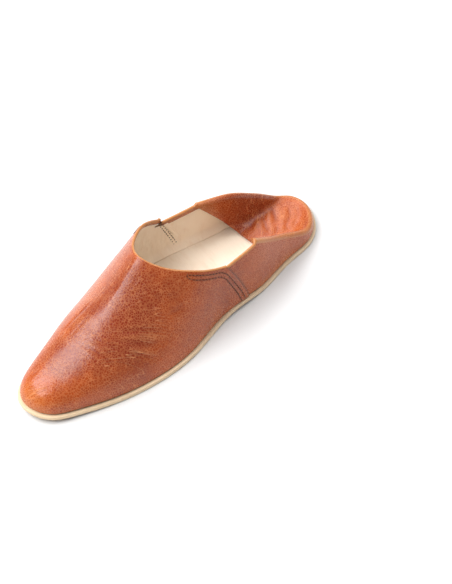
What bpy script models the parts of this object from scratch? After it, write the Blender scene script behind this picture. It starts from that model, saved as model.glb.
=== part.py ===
"""A leather babouche slipper for the left foot, with its back trodden down.

Metres, +Z up. The toe points along -Y, the heel along +Y and the outer side of the foot
along +X. The ground is the plane z = 0, and the origin lies under the middle of the outline.
"""

import math

import bmesh
import bpy
import numpy as np

# Driving sizes of the last
SHOE_LENGTH = 0.265
BALL_WIDTH = 0.0905
HEEL_WIDTH = 0.0602
INSTEP_HEIGHT = 0.0745
QUARTER_HEIGHT = 0.0475

# Leathers and clearances
SOLE_THICKNESS = 0.0031
INSOLE_THICKNESS = 0.0016
UPPER_WALL = 0.0018
SEAT_GAP = 0.0003
SOLE_EDGE_ROUNDING = 0.0005

# How the upper stands on the sole
TOE_MARGIN = 0.0018
WAIST_MARGIN = 0.0020
HEEL_MARGIN = 0.0015
FEATHER_RISE = 0.0012

# How the sole lies on the ground
TOE_SPRING = 0.0035
ARCH_LIFT = 0.0018

# Throat of the vamp, as stations along the shoe from the toe
THROAT_FRONT = 0.400
THROAT_CORNER = 0.5745
THROAT_SQUARENESS = 1.73
THROAT_INSET = 0.0044

# Side seam, where the wings of the vamp lie over the quarter
SEAM_FOOT = 0.637
SEAM_STEP = 0.0012
SEAM_EDGE = 0.0004
SEAM_NOTCH = 0.0030
SEAM_FADE = 0.14

# Folded back
FOLD_CORNER_FOOT = 0.709
OUTER_FOLD_CORNER = 0.690
INNER_FOLD_CORNER = 0.680
FOLD_INSET = 0.0050
FOLD_RADIUS = 0.0026
HEEL_ROLL_RADIUS = 0.0032
FLAP_STEEPNESS = math.radians(84)
FLAP_FILLET = 0.0065
FLAP_CORNER_FILLET = 0.0030
FLAP_EDGE_FROM_HEEL = 0.0585
FLAP_CORNER_DROP = 0.0030
WALL_LEAN_POWER = 2.2

# Fineness of the faceted surfaces
VAMP_COLUMNS = 22
QUARTER_COLUMNS = 5
FOLD_COLUMNS = 18
WALL_ROWS = 14
ROLL_ROWS = 5
FLAP_ROWS = 8
SHEET_ROWS = 52
SHEET_STRIPS = 6

# Cross sections of the last, toe to heel. "station" is a share of the shoe's length from
# the toe, "ball" says how far the section's width follows the ball rather than the heel,
# "inner" and "outer" are the sole's reach each side as shares of that width, "crown" is the
# height of the arch as a share of the instep's, and "fullness" is its superellipse power.
SECTION_COLUMNS = ("station", "ball", "inner", "outer", "crown", "fullness")
SECTIONS = (
    (0.00, 1.0, -0.020, 0.020, 0.000, 2.10),
    (0.03, 1.0, 0.154, 0.226, 0.168, 2.10),
    (0.09, 1.0, 0.240, 0.322, 0.252, 2.10),
    (0.18, 1.0, 0.332, 0.424, 0.395, 1.95),
    (0.30, 1.0, 0.460, 0.502, 0.590, 1.45),
    (0.42, 1.0, 0.505, 0.503, 0.880, 1.50),
    (0.55, 0.6, 0.502, 0.496, 1.000, 2.15),
    (0.68, 0.2, 0.475, 0.580, 1.000, 2.25),
    (0.80, 0.0, 0.436, 0.560, 1.000, 2.40),
    (0.90, 0.0, 0.357, 0.520, 1.000, 2.40),
    (0.97, 0.0, 0.256, 0.318, 1.000, 2.40),
    (1.00, 0.0, 0.000, 0.000, 1.000, 2.40),
)

# Height of the fold over the flap that lies on the insole, as a share of what the top line
# has at the fold's corners. "round" runs from the outer corner, past the end of the heel,
# to the inner corner.
FOLD_TABLE_COLUMNS = ("round", "height")
FOLD_HEIGHTS = (
    (0.00, 1.000),
    (0.10, 0.540),
    (0.22, 0.170),
    (0.34, 0.065),
    (0.44, 0.032),
    (0.50, 0.022),
    (0.57, 0.022),
    (0.68, 0.065),
    (0.80, 0.430),
    (0.90, 0.790),
    (1.00, 1.000),
)

# Colours, as linear red, green and blue
COGNAC = (0.33, 0.085, 0.022, 1.0)
NATURAL = (0.62, 0.43, 0.29, 1.0)
CREAM = (0.72, 0.55, 0.40, 1.0)


def column(table, names, name):
    """One named column of a table, as an array."""
    place = names.index(name)
    return np.array([row[place] for row in table], dtype=float)


def ease(value):
    """A share from 0 to 1 with flat ends."""
    value = min(max(value, 0.0), 1.0)
    return value * value * (3.0 - 2.0 * value)


def blend(first, second, share):
    return first + (second - first) * share


def closed_spline(knots, values, period):
    """The smooth closed curve through values at knots, as a function."""
    count = len(knots)
    steps = np.diff(np.append(knots, knots[0] + period))
    slopes = np.diff(np.append(values, values[0])) / steps
    system = np.zeros((count, count))
    for here in range(count):
        before = here - 1
        after = (here + 1) % count
        system[here, before] = steps[before]
        system[here, here] = 2.0 * (steps[before] + steps[here])
        system[here, after] = steps[here]
    bends = np.linalg.solve(system, 6.0 * (slopes - np.roll(slopes, 1)))

    def curve(at):
        at = (at - knots[0]) % period + knots[0]
        here = int(np.searchsorted(knots, at, side="right")) - 1
        after = (here + 1) % count
        step = steps[here]
        right = (at - knots[here]) / step
        left = 1.0 - right
        bow = (left ** 3 - left) * bends[here] + (right ** 3 - right) * bends[after]
        return left * values[here] + right * values[after] + bow * step * step / 6.0

    return curve


def table_curve(places, values):
    """A smooth open curve through a table's values, level beyond its ends."""
    tangents = np.gradient(values, places)

    def curve(at):
        at = min(max(at, places[0]), places[-1])
        here = min(int(np.searchsorted(places, at, side="right")) - 1, len(places) - 2)
        step = places[here + 1] - places[here]
        share = (at - places[here]) / step
        start = values[here] + share * share * (3.0 - 2.0 * share) * (values[here + 1] - values[here])
        rise = share * (1.0 - share) ** 2 * tangents[here]
        fall = share * share * (share - 1.0) * tangents[here + 1]
        return start + step * (rise + fall)

    return curve


STATIONS = column(SECTIONS, SECTION_COLUMNS, "station")
WIDTHS = blend(HEEL_WIDTH, BALL_WIDTH, column(SECTIONS, SECTION_COLUMNS, "ball"))
INNER_REACH = -column(SECTIONS, SECTION_COLUMNS, "inner") * WIDTHS
OUTER_REACH = column(SECTIONS, SECTION_COLUMNS, "outer") * WIDTHS
ANGLES = np.arccos(1.0 - 2.0 * STATIONS)

# The outline is one closed curve round the sole. Its angle is 0 at the toe, half a turn at
# the heel, and grows along the outer side first.
uncentred_reach = closed_spline(
    np.concatenate([ANGLES, 2.0 * math.pi - ANGLES[-2:0:-1]]),
    np.concatenate([OUTER_REACH, INNER_REACH[-2:0:-1]]),
    2.0 * math.pi,
)
REACHES = [uncentred_reach(angle) for angle in np.linspace(0.0, 2.0 * math.pi, 721)]
OUTLINE_MIDDLE = 0.5 * (min(REACHES) + max(REACHES))
crown_height = table_curve(
    np.sqrt(STATIONS), column(SECTIONS, SECTION_COLUMNS, "crown") * INSTEP_HEIGHT
)
section_fullness = table_curve(STATIONS, column(SECTIONS, SECTION_COLUMNS, "fullness"))
fold_share = table_curve(
    column(FOLD_HEIGHTS, FOLD_TABLE_COLUMNS, "round"),
    column(FOLD_HEIGHTS, FOLD_TABLE_COLUMNS, "height"),
)


def outline_reach(angle):
    """How far the outline lies to the outer side of the shoe's middle."""
    return uncentred_reach(angle) - OUTLINE_MIDDLE


def station_angle(station):
    return math.acos(1.0 - 2.0 * station)


def station_y(station):
    return (station - 0.5) * SHOE_LENGTH


def outline_point(angle, inset=0.0):
    """A point of the sole's outline in plan, moved inwards square to it by an inset."""
    small = 1e-4
    x = outline_reach(angle)
    y = -0.5 * SHOE_LENGTH * math.cos(angle)
    along_x = (outline_reach(angle + small) - outline_reach(angle - small)) / (2.0 * small)
    along_y = 0.5 * SHOE_LENGTH * math.sin(angle)
    length = math.hypot(along_x, along_y)
    return np.array([x - inset * along_y / length, y + inset * along_x / length])


def inward(angle):
    """The direction from the outline into the shoe, in plan."""
    return (outline_point(angle, 0.001) - outline_point(angle)) / 0.001


def feather_margin(angle):
    """How far the upper stands inside the sole's edge."""
    station = 0.5 - 0.5 * math.cos(angle)
    if station < 0.5:
        return blend(TOE_MARGIN, WAIST_MARGIN, ease(station / 0.5))
    return blend(WAIST_MARGIN, HEEL_MARGIN, ease((station - 0.5) / 0.35))


def ground_lift(y):
    """How far the sole's underside stands off the ground: toe spring and arch."""
    station = y / SHOE_LENGTH + 0.5
    if station < 0.26:
        return TOE_SPRING * (1.0 - max(station, 0.0) / 0.26) ** 2
    if 0.50 < station < 0.72:
        return ARCH_LIFT * math.sin(math.pi * (station - 0.50) / 0.22) ** 2
    return 0.0


def sole_top(y):
    return SOLE_THICKNESS + ground_lift(y)


FEATHER_ANGLES = np.linspace(0.0, math.pi, 721)
OUTER_FEATHER = np.array([outline_point(a, feather_margin(a)) for a in FEATHER_ANGLES])
INNER_FEATHER = np.array([outline_point(-a, feather_margin(a)) for a in FEATHER_ANGLES])
FEATHER_TOE = OUTER_FEATHER[0, 1]
FEATHER_HEEL = OUTER_FEATHER[-1, 1]


def arch_height(x, y):
    """Height of the last's arch over the feather line at a place in plan."""
    outer = np.interp(y, OUTER_FEATHER[:, 1], OUTER_FEATHER[:, 0])
    inner = np.interp(y, INNER_FEATHER[:, 1], INNER_FEATHER[:, 0])
    station = min(max((y - FEATHER_TOE) / (FEATHER_HEEL - FEATHER_TOE), 0.0), 1.0)
    half = max(0.5 * (outer - inner), 1e-6)
    across = min(abs(x - 0.5 * (outer + inner)) / half, 1.0)
    power = section_fullness(station)
    return crown_height(math.sqrt(station)) * (1.0 - across ** power) ** (1.0 / power)


def throat_point(share):
    """A point of the throat in plan, from its outer corner (0) past its front to its inner (1)."""
    corner_angle = station_angle(THROAT_CORNER)
    inset = feather_margin(corner_angle) + THROAT_INSET
    outer = outline_point(corner_angle, inset)
    inner = outline_point(-corner_angle, inset)
    turn = math.pi * share
    sideways = math.copysign(abs(math.cos(turn)) ** (2.0 / THROAT_SQUARENESS), math.cos(turn))
    forwards = math.sin(turn) ** (2.0 / THROAT_SQUARENESS)
    middle_x = 0.5 * (outer[0] + inner[0])
    front_x = 0.5 * (
        np.interp(station_y(THROAT_FRONT), OUTER_FEATHER[:, 1], OUTER_FEATHER[:, 0])
        + np.interp(station_y(THROAT_FRONT), INNER_FEATHER[:, 1], INNER_FEATHER[:, 0])
    )
    x = blend(middle_x, front_x, forwards) + 0.5 * (outer[0] - inner[0]) * sideways
    y = blend(0.5 * (outer[1] + inner[1]), station_y(THROAT_FRONT), forwards)
    return np.array([x, y])


def wall_point(foot_angle, top_angle, share, height, inset, proud=0.0):
    """A point of the side wall, a share of the way up from the feather to the top line."""
    angle = blend(foot_angle, top_angle, share ** 1.2)
    lean = feather_margin(angle) + inset * share ** WALL_LEAN_POWER - proud
    x, y = outline_point(angle, lean)
    foot = sole_top(y) + SEAT_GAP
    return np.array([x, y, blend(foot + FEATHER_RISE, height, share)])


def foot_point(angle, proud=0.0):
    x, y = outline_point(angle, feather_margin(angle) - proud)
    return np.array([x, y, sole_top(y) + SEAT_GAP])


def topline_height(round_share):
    """Height of the quarter's top line, from the vamp's corner (0) to the fold's corner (1)."""
    x, y = throat_point(0.0)
    start = arch_height(x, y) + sole_top(y) + SEAT_GAP + FEATHER_RISE - SEAM_NOTCH
    return blend(start, QUARTER_HEIGHT - FOLD_RADIUS, round_share)


def vamp_column(share, side):
    """Points up the vamp. share is 0 at the toe and 1 at the side seam, side is 1 or -1."""
    seam_angle = station_angle(SEAM_FOOT)
    corner_angle = station_angle(THROAT_CORNER)
    angle = side * seam_angle * share
    top = throat_point(0.5 * (1.0 - side * share))
    start = outline_point(angle, feather_margin(angle))
    to_wall = ease((share - 0.72) / 0.28)
    proud = SEAM_STEP * ease((share - 1.0 + SEAM_FADE) / SEAM_FADE)
    corner_x, corner_y = throat_point(0.0 if side > 0 else 1.0)
    corner_height = arch_height(corner_x, corner_y) + sole_top(corner_y) + SEAT_GAP + FEATHER_RISE
    points = [foot_point(angle, proud)]
    for row in range(WALL_ROWS + 1):
        part = row / WALL_ROWS
        plan = blend(start, top, part ** 2.1)
        height = sole_top(plan[1]) + SEAT_GAP + FEATHER_RISE + arch_height(plan[0], plan[1])
        if row == 0:
            height = sole_top(plan[1]) + SEAT_GAP + FEATHER_RISE
        outward = -inward(angle)
        domed = np.array([*(plan + outward * proud), height + 0.7 * proud * part ** 3])
        walled = wall_point(angle, side * corner_angle, part, corner_height, THROAT_INSET, proud)
        points.append(blend(domed, walled, to_wall))
    return points


def quarter_column(share, side):
    """Points up the quarter's side. share is 0 at the seam and 1 at the fold's corner."""
    edge = SEAM_EDGE / SHOE_LENGTH
    foot = station_angle(blend(SEAM_FOOT + edge, FOLD_CORNER_FOOT, share))
    corner = OUTER_FOLD_CORNER if side > 0 else INNER_FOLD_CORNER
    top = station_angle(blend(THROAT_CORNER + edge, corner, share))
    inset = blend(THROAT_INSET, FOLD_INSET, share)
    points = [foot_point(side * foot)]
    for row in range(WALL_ROWS + 1):
        part = row / WALL_ROWS
        points.append(wall_point(side * foot, side * top, part, topline_height(share), inset))
    return points


FLAP_TOP = SOLE_THICKNESS + SEAT_GAP + INSOLE_THICKNESS + SEAT_GAP + UPPER_WALL


def flap_slope(drop, bend):
    """How steeply the flap goes down, so that its two bends don't take more than the drop."""
    return min(FLAP_STEEPNESS, math.acos(max(1.0 - drop / bend, -1.0)))


def flap_profile(drop, radius, fillet, reach):
    """Distance inwards and height below the fold's top, a reach along the leather from the top."""
    bend = radius + fillet
    slope = flap_slope(drop, bend)
    turn = radius * slope
    straight = max(drop - bend * (1.0 - math.cos(slope)), 0.0) / math.sin(slope)
    if reach < turn:
        angle = reach / radius
        return radius * math.sin(angle), radius * (1.0 - math.cos(angle))
    slide = min(reach - turn, straight)
    angle = min((reach - turn - slide) / fillet, slope)
    inwards = radius * math.sin(slope) + slide * math.cos(slope)
    inwards += fillet * (math.sin(slope) - math.sin(slope - angle))
    down = radius * (1.0 - math.cos(slope)) + slide * math.sin(slope)
    down += fillet * (math.cos(slope - angle) - math.cos(slope))
    return inwards, down


def flap_landing(drop, radius, fillet):
    """Length of leather from the fold's top until it lies flat, and the distance inwards."""
    bend = radius + fillet
    slope = flap_slope(drop, bend)
    straight = max(drop - bend * (1.0 - math.cos(slope)), 0.0) / math.sin(slope)
    length = bend * slope + straight
    return length, flap_profile(drop, radius, fillet, length)[0]


class FoldLine:
    """One place on the fold: its wall below, its crest, and where its flap would land."""

    def __init__(self, share):
        foot_corner = station_angle(FOLD_CORNER_FOOT)
        outer_corner = station_angle(OUTER_FOLD_CORNER)
        inner_corner = station_angle(INNER_FOLD_CORNER)
        self.foot = blend(foot_corner, 2.0 * math.pi - foot_corner, share)
        self.top = blend(outer_corner, 2.0 * math.pi - inner_corner, share)
        self.drop = fold_share(share) * (QUARTER_HEIGHT - FLAP_TOP)
        self.height = FLAP_TOP + self.drop
        self.lean = FOLD_INSET * fold_share(share)
        upright = math.sqrt(fold_share(share))
        self.radius = blend(HEEL_ROLL_RADIUS, FOLD_RADIUS, upright)
        self.fillet = blend(FLAP_FILLET, FLAP_CORNER_FILLET, upright)
        self.shoulder = outline_point(self.top, feather_margin(self.top) + self.lean)
        self.direction = inward(self.top)
        self.crest = self.shoulder + self.direction * self.radius
        self.length, landing = flap_landing(self.drop, self.radius, self.fillet)
        self.landing = self.crest + self.direction * landing

    def profile(self, reach):
        return flap_profile(self.drop, self.radius, self.fillet, reach)

    def points(self, edge):
        """Points up the back, over its fold and down its flap to the flap's free edge."""
        wall_top = self.height - self.radius
        points = [foot_point(self.foot)]
        for row in range(WALL_ROWS + 1):
            points.append(wall_point(self.foot, self.top, row / WALL_ROWS, wall_top, self.lean))
        for row in range(1, ROLL_ROWS + 1):
            turn = 0.5 * math.pi * row / ROLL_ROWS
            plan = self.shoulder + self.direction * self.radius * (1.0 - math.cos(turn))
            points.append(np.array([*plan, wall_top + self.radius * math.sin(turn)]))
        return points + self.flap(edge)

    def reach_down_to(self, height):
        """Length of leather from the fold's top down to a height."""
        reaches = np.linspace(0.0, self.length, 60)
        return float(np.interp(self.height - height, [self.profile(r)[1] for r in reaches], reaches))

    def flap(self, edge):
        """Points of the flap, down to a height on the side or to a place in plan on the flat."""
        reach = self.length
        flat = np.zeros(2)
        if isinstance(edge, float):
            reach = self.reach_down_to(edge)
        else:
            flat = edge - self.landing
        steep_share = reach / (reach + np.linalg.norm(flat))
        points = []
        for row in range(1, FLAP_ROWS + 1):
            part = row / FLAP_ROWS
            inwards, down = self.profile(reach * min(part / steep_share, 1.0))
            plan = self.crest + self.direction * inwards
            if part > steep_share:
                plan = self.landing + flat * (part - steep_share) / (1.0 - steep_share)
            points.append(np.array([*plan, self.height - down]))
        return points


def fold_columns():
    """Columns of the folded back, round the heel from the outer corner to the inner one."""
    lines = [FoldLine(n / (2 * FOLD_COLUMNS)) for n in range(2 * FOLD_COLUMNS + 1)]
    edge_y = 0.5 * SHOE_LENGTH - FLAP_EDGE_FROM_HEEL
    landed = [n for n, line in enumerate(lines) if line.landing[1] > edge_y]
    first, last = lines[landed[0]], lines[landed[-1]]
    columns = []
    for n, line in enumerate(lines):
        if n in landed:
            x = blend(first.landing[0], last.landing[0], (n - landed[0]) / (landed[-1] - landed[0]))
            edge = np.array([x, edge_y])
        else:
            corner, end = (lines[0], first) if n < landed[0] else (lines[-1], last)
            share = (line.crest[1] - corner.crest[1]) / (end.crest[1] - corner.crest[1])
            edge = float(blend(corner.height - FLAP_CORNER_DROP, FLAP_TOP, share))
        columns.append(line.points(edge))
    return columns


def upper_columns():
    """All columns of the upper, once round the shoe from the toe by the outer side."""
    outer_vamp = [vamp_column(n / VAMP_COLUMNS, 1) for n in range(VAMP_COLUMNS + 1)]
    outer_quarter = [quarter_column(n / QUARTER_COLUMNS, 1) for n in range(QUARTER_COLUMNS)]
    back = fold_columns()
    inner_quarter = [quarter_column(n / QUARTER_COLUMNS, -1) for n in range(QUARTER_COLUMNS)]
    inner_vamp = [vamp_column(n / VAMP_COLUMNS, -1) for n in range(1, VAMP_COLUMNS + 1)]
    return outer_vamp + outer_quarter + back + inner_quarter[::-1] + inner_vamp[::-1]


def leather(name, colour, roughness):
    material = bpy.data.materials.new(name)
    material.use_nodes = True
    shader = material.node_tree.nodes["Principled BSDF"]
    shader.inputs["Base Color"].default_value = colour
    shader.inputs["Roughness"].default_value = roughness
    shader.inputs["Metallic"].default_value = 0.0
    return material


def sheet_object(name, columns, wall, material, collection):
    """A ring of leather woven from columns of points, given its thickness inwards."""
    mesh = bmesh.new()
    woven = [[mesh.verts.new(point) for point in points] for points in columns]
    for left, right in zip(woven, woven[1:] + woven[:1]):
        for row in range(min(len(left), len(right)) - 1):
            corners = (left[row], right[row], right[row + 1], left[row + 1])
            mesh.faces.new(tuple(dict.fromkeys(corners)))
    data = bpy.data.meshes.new(name)
    mesh.to_mesh(data)
    mesh.free()
    data.materials.append(material)
    data.shade_smooth()
    piece = bpy.data.objects.new(name, data)
    collection.objects.link(piece)
    thickness = piece.modifiers.new("leather", "SOLIDIFY")
    thickness.thickness = wall
    thickness.offset = -1.0
    return piece


def sole_strips(inset, base):
    """Columns across a sole-shaped sheet, toe to heel, each from the inner edge to the outer."""
    strips = []
    for row in range(1, SHEET_ROWS):
        angle = math.pi * row / SHEET_ROWS
        outer = outline_point(angle, inset(angle))
        inner = outline_point(-angle, inset(angle))
        across = [blend(inner, outer, n / SHEET_STRIPS) for n in range(SHEET_STRIPS + 1)]
        strips.append([np.array([x, y, sole_top(y) + base]) for x, y in across])
    return strips


def sole_sheet(name, inset, base, wall, material, collection):
    """A flat leather cut to the outline, closed at the toe and heel with a point each."""
    strips = sole_strips(inset, base)
    mesh = bmesh.new()
    woven = [[mesh.verts.new(point) for point in strip] for strip in strips]
    for left, right in zip(woven, woven[1:]):
        for n in range(SHEET_STRIPS):
            mesh.faces.new((left[n], left[n + 1], right[n + 1], right[n]))
    for angle, strip, order in ((0.0, woven[0], 1), (math.pi, woven[-1], -1)):
        x, y = outline_point(angle, inset(angle))
        tip = mesh.verts.new((x, y, sole_top(y) + base))
        for n in range(SHEET_STRIPS):
            mesh.faces.new((tip, strip[n + 1], strip[n])[::order])
    data = bpy.data.meshes.new(name)
    mesh.to_mesh(data)
    mesh.free()
    data.materials.append(material)
    piece = bpy.data.objects.new(name, data)
    collection.objects.link(piece)
    thickness = piece.modifiers.new("leather", "SOLIDIFY")
    thickness.thickness = wall
    thickness.offset = -1.0
    return piece


def build_outsole(collection):
    piece = sole_sheet(
        "outsole", lambda angle: 0.0, 0.0, SOLE_THICKNESS, leather("sole_leather", NATURAL, 0.7), collection
    )
    rounding = piece.modifiers.new("edge", "BEVEL")
    rounding.width = SOLE_EDGE_ROUNDING
    rounding.segments = 1
    rounding.limit_method = "ANGLE"
    rounding.angle_limit = math.radians(50)


def build_insole(collection):
    def inset(angle):
        return feather_margin(angle) + UPPER_WALL + SEAT_GAP

    base = SEAT_GAP + INSOLE_THICKNESS
    material = leather("lining_leather", CREAM, 0.75)
    sole_sheet("insole", inset, base, INSOLE_THICKNESS, material, collection)


def build_upper(collection):
    material = leather("upper_leather", COGNAC, 0.35)
    sheet_object("upper", upper_columns(), UPPER_WALL, material, collection)


def clear_scene():
    for thing in list(bpy.data.objects):
        bpy.data.objects.remove(thing, do_unlink=True)


def main():
    clear_scene()
    collection = bpy.data.collections.new("babouche_slipper")
    bpy.context.scene.collection.children.link(collection)
    build_outsole(collection)
    build_insole(collection)
    build_upper(collection)


main()
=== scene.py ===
"""A leather babouche slipper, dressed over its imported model: vamp, quarter with its
trodden-down back, linings, insole, outsole, stitching and a studio.

Metres, +Z up. The toe points along -Y, the heel along +Y, the outer side along +X.
"""

import math

import bpy
import numpy as np
from bpy.props import FloatProperty, FloatVectorProperty, IntProperty, PointerProperty
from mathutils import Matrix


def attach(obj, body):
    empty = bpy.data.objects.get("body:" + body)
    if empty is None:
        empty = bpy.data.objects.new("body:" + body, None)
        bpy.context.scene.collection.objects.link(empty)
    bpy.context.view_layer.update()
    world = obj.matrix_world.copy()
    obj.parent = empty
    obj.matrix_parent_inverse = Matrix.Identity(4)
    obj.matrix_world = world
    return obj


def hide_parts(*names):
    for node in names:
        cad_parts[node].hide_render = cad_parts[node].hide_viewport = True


bl_info = {
    "name": "Babouche slipper",
    "version": (1, 0, 0),
    "blender": (4, 5, 0),
    "location": "3D View > Sidebar > Babouche",
    "description": "Makes a leather babouche slipper over its packed model",
    "category": "Object",
}

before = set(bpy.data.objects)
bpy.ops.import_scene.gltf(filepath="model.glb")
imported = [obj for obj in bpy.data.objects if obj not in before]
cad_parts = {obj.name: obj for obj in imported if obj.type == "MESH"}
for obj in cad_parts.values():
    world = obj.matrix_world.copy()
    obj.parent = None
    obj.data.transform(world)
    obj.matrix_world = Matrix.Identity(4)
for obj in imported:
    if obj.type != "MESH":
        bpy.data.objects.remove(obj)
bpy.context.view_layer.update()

# The last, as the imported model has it
SHOE_LENGTH = 0.265
BALL_WIDTH = 0.0905
HEEL_WIDTH = 0.0602
INSTEP_HEIGHT = 0.0745
QUARTER_HEIGHT = 0.0475
SOLE_THICKNESS = 0.0031
INSOLE_THICKNESS = 0.0016
UPPER_WALL = 0.0018
SEAT_GAP = 0.0003
TOE_MARGIN = 0.0018
WAIST_MARGIN = 0.0020
HEEL_MARGIN = 0.0015
FEATHER_RISE = 0.0012
TOE_SPRING = 0.0035
ARCH_LIFT = 0.0018
THROAT_FRONT = 0.400
THROAT_CORNER = 0.5745
THROAT_SQUARENESS = 1.73
THROAT_INSET = 0.0044
SEAM_FOOT = 0.637
SEAM_STEP = 0.0012
SEAM_NOTCH = 0.0030
SEAM_FADE = 0.14
FOLD_CORNER_FOOT = 0.709
OUTER_FOLD_CORNER = 0.690
INNER_FOLD_CORNER = 0.680
FOLD_INSET = 0.0050
FOLD_RADIUS = 0.0026
HEEL_ROLL_RADIUS = 0.0032
FLAP_STEEPNESS = math.radians(84)
FLAP_FILLET = 0.0065
FLAP_CORNER_FILLET = 0.0030
FLAP_EDGE_FROM_HEEL = 0.0585
FLAP_CORNER_DROP = 0.0030
WALL_LEAN_POWER = 2.2
FLAP_TOP = SOLE_THICKNESS + SEAT_GAP + INSOLE_THICKNESS + SEAT_GAP + UPPER_WALL

# Station, share of the ball's width, inner and outer reach, crown, fullness of the section
SECTIONS = (
    (0.00, 1.0, -0.020, 0.020, 0.000, 2.10),
    (0.03, 1.0, 0.154, 0.226, 0.168, 2.10),
    (0.09, 1.0, 0.240, 0.322, 0.252, 2.10),
    (0.18, 1.0, 0.332, 0.424, 0.395, 1.95),
    (0.30, 1.0, 0.460, 0.502, 0.590, 1.45),
    (0.42, 1.0, 0.505, 0.503, 0.880, 1.50),
    (0.55, 0.6, 0.502, 0.496, 1.000, 2.15),
    (0.68, 0.2, 0.475, 0.580, 1.000, 2.25),
    (0.80, 0.0, 0.436, 0.560, 1.000, 2.40),
    (0.90, 0.0, 0.357, 0.520, 1.000, 2.40),
    (0.97, 0.0, 0.256, 0.318, 1.000, 2.40),
    (1.00, 0.0, 0.000, 0.000, 1.000, 2.40),
)
# Share of the way round the fold, share of the quarter's height
FOLD_HEIGHTS = (
    (0.00, 1.000),
    (0.10, 0.540),
    (0.22, 0.170),
    (0.34, 0.065),
    (0.44, 0.032),
    (0.50, 0.022),
    (0.57, 0.022),
    (0.68, 0.065),
    (0.80, 0.430),
    (0.90, 0.790),
    (1.00, 1.000),
)

# Creases, listed in plan: a trough from (x, y) to (x, y) in millimetres, how wide it is,
# how deep, and how far its middle bows sideways
VAMP_TROUGHS = (
    (2.0, -86.0, 34.0, -76.0, 2.2, 0.38, -0.8),
    (13.0, -78.0, 27.0, -69.0, 2.2, 0.24, 0.6),
    (17.0, -66.0, 35.0, -37.0, 2.4, 0.24, 0.8),
    (21.0, -68.0, 37.0, -42.0, 2.2, 0.30, -0.6),
    (25.0, -67.0, 39.0, -44.0, 2.2, 0.26, 0.7),
    (29.0, -67.0, 41.0, -48.0, 2.2, 0.20, 0.4),
    (-12.0, -88.0, -13.0, -56.0, 2.6, 0.16, 0.8),
    (-5.0, -88.0, -5.0, -60.0, 2.6, 0.13, -0.6),
    (-20.0, -70.0, 8.0, -60.0, 9.0, 0.22, 1.0),
    (-16.0, -96.0, 14.0, -92.0, 8.0, 0.18, -1.0),
    (-2.0, -128.0, 6.0, -115.0, 2.4, 0.14, 0.4),
    (3.0, -129.0, 13.0, -114.0, 2.4, 0.14, -0.3),
    (-5.0, -124.0, -5.0, -108.0, 2.4, 0.13, 0.3),
    (19.0, -36.0, 31.0, -17.0, 3.0, 0.12, 0.6),
    (30.0, -34.0, 34.0, -15.0, 2.6, 0.12, 0.4),
)
FLAP_TROUGHS = (
    (-14.0, 110.0, 4.0, 98.0, 4.2, 0.34, 1.5),
    (-12.0, 101.0, 8.0, 88.0, 3.8, 0.30, -1.0),
    (-4.0, 119.0, 9.0, 107.0, 3.8, 0.28, 1.0),
    (-15.0, 92.0, -4.0, 80.0, 3.4, 0.26, 1.0),
    (3.0, 100.0, 13.0, 86.0, 3.6, 0.24, 1.2),
    (4.0, 112.0, 15.0, 99.0, 3.6, 0.22, -0.8),
)
FULL_TROUGH = 0.0005

# How the leathers are worked: the room left for paste, the turned top line, the turned-in foot
PASTE_GAP = 0.0001
TURN_RADIUS = 0.5 * UPPER_WALL + PASTE_GAP
FOOT_RADIUS = 0.0012
FOOT_CLOSING = 0.9
LINING_BELOW_BAND = 0.0008
LINING_FOOT = 0.0004
LINING_FLARE = 0.0042
LINING_FLARE_HEIGHT = 0.0075
SOLE_EDGE_ROUNDING = 0.0005
SOLE_BULGE = 0.0002

# Rows of stitches: how far each lies from the edge, and how the row turns its corner
SEAM_ROWS = (0.0033, 0.0064)
SEAM_STARTS = (0.033, 0.031)
SEAM_CORNER = 0.0045
SEAM_END = 0.0025
LINING_SEAM_ROWS = (0.0015, 0.0058)
LINING_SEAM_START = 0.005
LINING_SEAM_END = 0.008
HOLE_RADIUS = 0.00038
LINING_HOLE_RADIUS = 0.0005
THREAD_LIFT = 0.00005

# The camera of the photograph: where it stands, how it is turned in degrees, and its lens
CAMERA_PLACE = (0.4171, -0.3496, 0.6352)
CAMERA_TURN = (40.91, 0.75, 45.33)
CAMERA_LENS = 73.97
# Name, place, size and power of each light
LIGHTS = (
    ("softbox_front", (-0.575, -0.685, 1.326), (1.75, 0.95), 40.0),
    ("softbox_back", (-0.8, 0.67, 1.2), (0.6, 0.6), 5.0),
    ("softbox_over", (0.25, 0.95, 1.3), (1.2, 1.2), 9.0),
)
WORLD_STRENGTH = 0.34
FLOOR_REACH = 6.0

# Fineness of the meshes
VAMP_COLUMNS = 180
QUARTER_COLUMNS = 26
TUCK_COLUMNS = 8
FOLD_COLUMNS = 140
LINED_FOLD_COLUMNS = 36
FOOT_ROWS = 5
WALL_ROWS = 92
ROLL_ROWS = 10
BAND_ROWS = 6
FLAP_ROWS = 44
LINING_ROWS = 60
SOLE_POINTS = 480
SOLE_STRIPS = 10


# Curves and tables

def ease(value):
    value = np.clip(value, 0.0, 1.0)
    return value * value * (3.0 - 2.0 * value)


def blend(first, second, share):
    return first + (second - first) * share


def steps(rows):
    """Even shares from 0 to 1, as one row."""
    return np.linspace(0.0, 1.0, rows)[None, :]


def in_mm(points):
    """The x, y and z of points, in millimetres."""
    return np.moveaxis(points, -1, 0) * 1e3


def raised(plan, height):
    """Points in space from places in plan and their heights."""
    return np.concatenate([plan, height[..., None]], axis=-1)


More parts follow.
